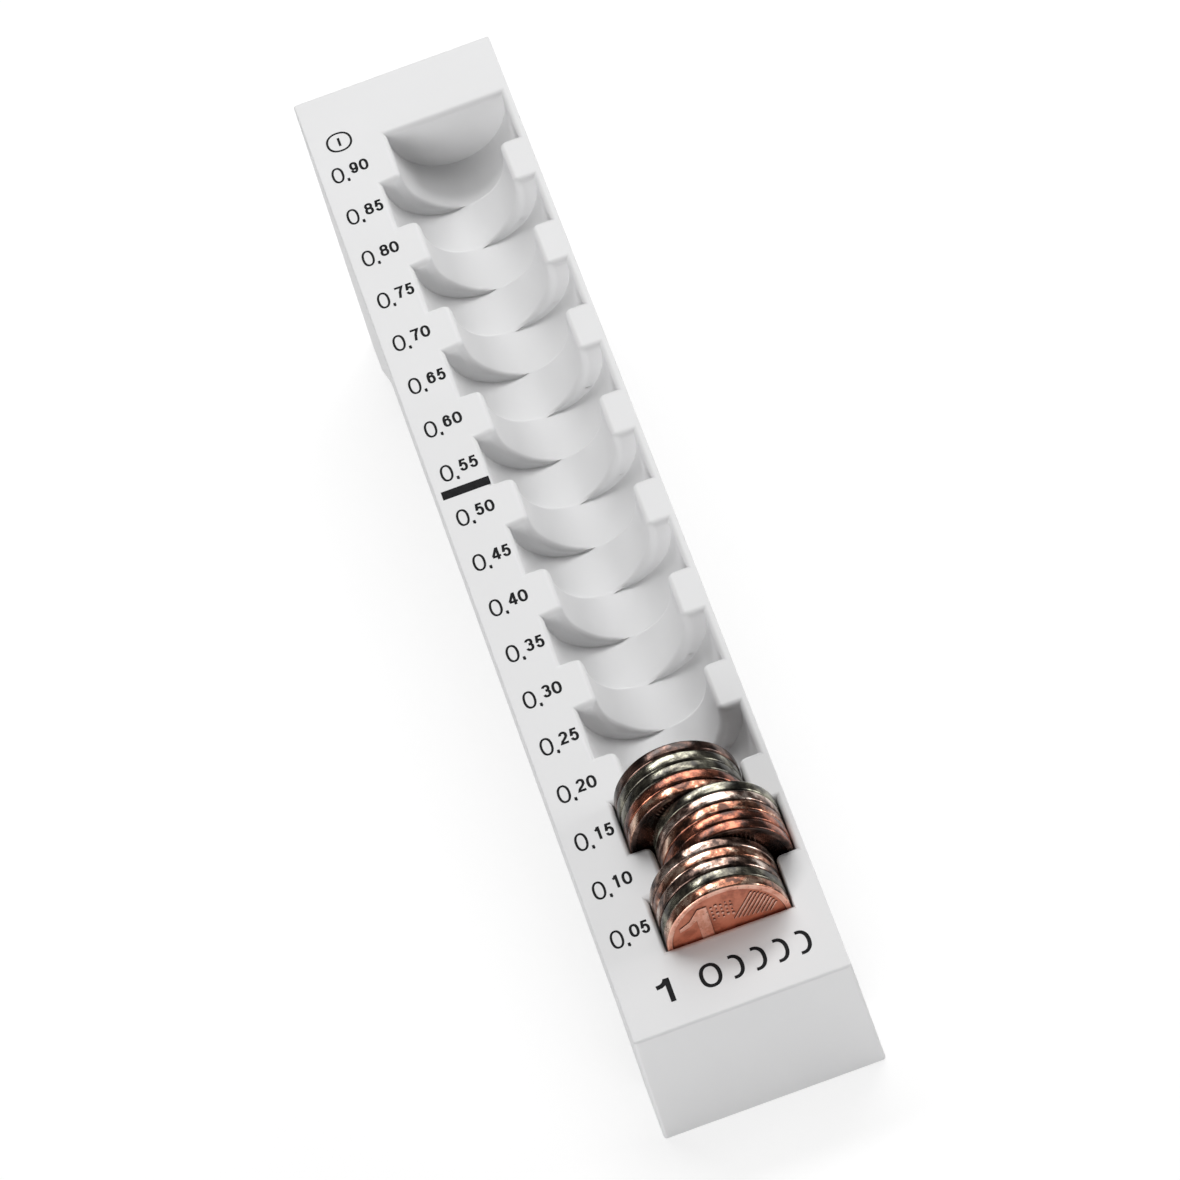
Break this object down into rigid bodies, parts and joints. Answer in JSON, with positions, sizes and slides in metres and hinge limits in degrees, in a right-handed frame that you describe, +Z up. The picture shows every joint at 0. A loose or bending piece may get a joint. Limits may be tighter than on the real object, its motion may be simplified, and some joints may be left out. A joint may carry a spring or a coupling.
{
  "type": "coin counting tray",
  "caption": "Sloped channel tray in light grey plastic with staggered round-bottomed pockets along it, holding small copper-coloured coins on edge in its front pockets.",
  "frame": {"origin": "centre of the bounding box's bottom face, on the surface that the tray stands on", "axes": "+Z up, +Y along the tray to its tall rear end, +X to the right as seen from the low front end"},
  "size_m": [0.03, 0.176, 0.0416],
  "materials": {
    "tray": "fine satin moulded surface",
    "coin": "worn copper plating, brighter on the lips"
  },
  "bodies": {
    "tray": {"tray": "tray"},
    "coin_01": {"coin_01": "coin"},
    "coin_02": {"coin_02": "coin"},
    "coin_03": {"coin_03": "coin"},
    "coin_04": {"coin_04": "coin"},
    "coin_05": {"coin_05": "coin"},
    "coin_06": {"coin_06": "coin"},
    "coin_07": {"coin_07": "coin"},
    "coin_08": {"coin_08": "coin"},
    "coin_09": {"coin_09": "coin"},
    "coin_10": {"coin_10": "coin"},
    "coin_11": {"coin_11": "coin"},
    "coin_12": {"coin_12": "coin"},
    "coin_13": {"coin_13": "coin"},
    "coin_14": {"coin_14": "coin"},
    "coin_15": {"coin_15": "coin"}
  },
  "joints": [
    {"name": "coin_01_lift", "type": "slide", "parent": "tray", "child": "coin_01", "axis": [0, -0.1409, 0.99], "range_m": [0, 0.02]},
    {"name": "coin_02_lift", "type": "slide", "parent": "tray", "child": "coin_02", "axis": [0, -0.1409, 0.99], "range_m": [0, 0.02]},
    {"name": "coin_03_lift", "type": "slide", "parent": "tray", "child": "coin_03", "axis": [0, -0.1409, 0.99], "range_m": [0, 0.02]},
    {"name": "coin_04_lift", "type": "slide", "parent": "tray", "child": "coin_04", "axis": [0, -0.1409, 0.99], "range_m": [0, 0.02]},
    {"name": "coin_05_lift", "type": "slide", "parent": "tray", "child": "coin_05", "axis": [0, -0.1409, 0.99], "range_m": [0, 0.02]},
    {"name": "coin_06_lift", "type": "slide", "parent": "tray", "child": "coin_06", "axis": [0, -0.1409, 0.99], "range_m": [0, 0.02]},
    {"name": "coin_07_lift", "type": "slide", "parent": "tray", "child": "coin_07", "axis": [0, -0.1409, 0.99], "range_m": [0, 0.02]},
    {"name": "coin_08_lift", "type": "slide", "parent": "tray", "child": "coin_08", "axis": [0, -0.1409, 0.99], "range_m": [0, 0.02]},
    {"name": "coin_09_lift", "type": "slide", "parent": "tray", "child": "coin_09", "axis": [0, -0.1409, 0.99], "range_m": [0, 0.02]},
    {"name": "coin_10_lift", "type": "slide", "parent": "tray", "child": "coin_10", "axis": [0, -0.1409, 0.99], "range_m": [0, 0.02]},
    {"name": "coin_11_lift", "type": "slide", "parent": "tray", "child": "coin_11", "axis": [0, -0.1409, 0.99], "range_m": [0, 0.02]},
    {"name": "coin_12_lift", "type": "slide", "parent": "tray", "child": "coin_12", "axis": [0, -0.1409, 0.99], "range_m": [0, 0.02]},
    {"name": "coin_13_lift", "type": "slide", "parent": "tray", "child": "coin_13", "axis": [0, -0.1409, 0.99], "range_m": [0, 0.02]},
    {"name": "coin_14_lift", "type": "slide", "parent": "tray", "child": "coin_14", "axis": [0, -0.1409, 0.99], "range_m": [0, 0.02]},
    {"name": "coin_15_lift", "type": "slide", "parent": "tray", "child": "coin_15", "axis": [0, -0.1409, 0.99], "range_m": [0, 0.02]}
  ]
}
